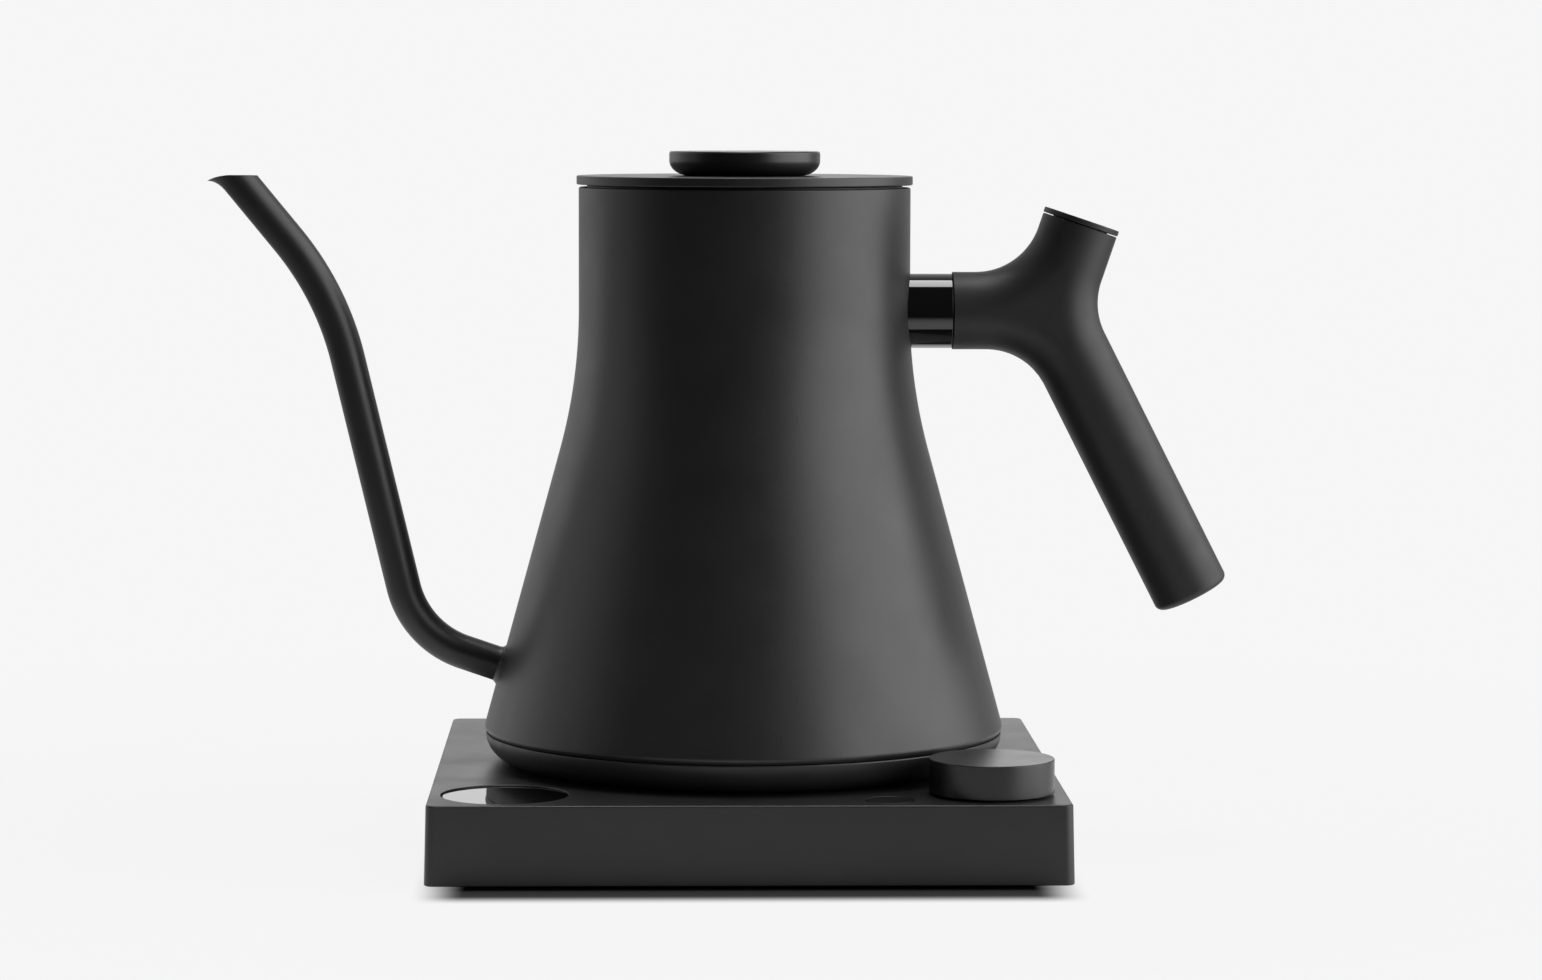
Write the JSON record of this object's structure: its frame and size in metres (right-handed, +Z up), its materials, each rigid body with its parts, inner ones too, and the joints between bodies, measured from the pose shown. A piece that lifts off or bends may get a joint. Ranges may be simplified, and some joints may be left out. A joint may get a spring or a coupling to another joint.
{
  "type": "electric kettle",
  "caption": "Gooseneck pour-over kettle with an angled bar handle and a flat lid, on a square electric base with a round display, a push-and-turn dial and a button.",
  "frame": {"origin": "on the kettle's axis, at the flat underside of the base's bottom cover; the feet stand 1.2 mm lower", "axes": "+Z up along the kettle's axis, +X toward the handle, -X toward the spout, -Y toward the controls"},
  "size_m": [0.2869, 0.1746, 0.1948],
  "materials": {
    "matte_coat": "matte black powder coat",
    "satin_black": "satin black",
    "gloss_black": "polished black",
    "display_glass": "dark tinted, polished",
    "display_black": "dark when off",
    "dark_plastic": "fine grain",
    "soft_black": "soft touch",
    "steel": "brushed",
    "nickel": "plated",
    "aluminium": "rolled",
    "brass": "polished",
    "rubber": "matte",
    "silicone": "matte translucent",
    "connector_cream": "moulded",
    "board_green": "lacquered",
    "relay_blue": "moulded",
    "coil_amber": "taped winding"
  },
  "bodies": {
    "base": {"base_housing": "matte_coat", "bottom_cover": "dark_plastic", "foot_front_left": "rubber", "foot_front_right": "rubber", "foot_rear_right": "rubber", "foot_rear_left": "rubber", "cover_screw_1": "steel", "cover_screw_2": "steel", "cover_screw_3": "steel", "cover_screw_4": "steel", "dock_housing": "dark_plastic", "dock_live_contact": "brass", "dock_neutral_contact": "brass", "dock_earth_band": "steel", "display_lens": "display_glass", "display_gasket": "rubber", "display_panel": "display_black", "encoder_body": "nickel", "encoder_nut": "nickel", "hold_switch": "nickel", "control_board": "board_green", "power_board": "board_green", "power_relay": "relay_blue", "supply_transformer": "coil_amber", "cord_gland": "rubber", "cord_clamp": "dark_plastic", "clamp_screw_1": "steel", "clamp_screw_2": "steel"},
    "coupler": {"coupler_housing": "connector_cream", "coupler_live_pin": "brass", "coupler_neutral_ring": "brass", "coupler_earth_ring": "steel"},
    "kettle": {"kettle_body": "matte_coat", "spout": "matte_coat", "vessel_floor": "steel", "heat_spreader": "aluminium", "heating_element": "nickel", "temperature_probe": "steel", "probe_seal": "silicone", "kettle_skirt": "dark_plastic", "skirt_screw_1": "steel", "skirt_screw_2": "steel", "skirt_screw_3": "steel", "handle_shell": "soft_black", "handle_cap": "soft_black", "handle_weight": "steel", "grip_plug": "soft_black", "handle_collar": "gloss_black", "handle_rod": "steel", "handle_nut": "steel"},
    "lid": {"lid_disc": "matte_coat", "lid_plug": "dark_plastic", "lid_seal": "silicone", "lid_knob": "satin_black", "lid_screw": "steel"},
    "encoder_rotor": {"encoder_shaft": "steel"},
    "dial": {"dial_knob": "satin_black", "dial_hub": "dark_plastic"},
    "button": {"hold_button": "satin_black"}
  },
  "joints": [
    {"name": "kettle_lift", "type": "slide", "parent": "base", "child": "coupler", "axis": [0, 0, 1], "range_m": [0, 0.12]},
    {"name": "kettle_swivel", "type": "hinge", "parent": "coupler", "child": "kettle", "pos_m": [0, 0, 0.0215], "axis": [0, 0, 1], "continuous": true},
    {"name": "lid_lift", "type": "slide", "parent": "kettle", "child": "lid", "axis": [0, 0, 1], "range_m": [0, 0.06]},
    {"name": "dial_spin", "type": "hinge", "parent": "base", "child": "encoder_rotor", "pos_m": [0.0656, -0.0656, 0.0215], "axis": [0, 0, 1], "continuous": true},
    {"name": "dial_press", "type": "slide", "parent": "encoder_rotor", "child": "dial", "axis": [0, 0, -1], "range_m": [0, 0.0005], "stiffness_N_per_m": 2000, "springref_m": -0.001},
    {"name": "hold_press", "type": "slide", "parent": "base", "child": "button", "axis": [0, 0, -1], "range_m": [0, 0.0008], "stiffness_N_per_m": 1200, "springref_m": -0.001}
  ]
}
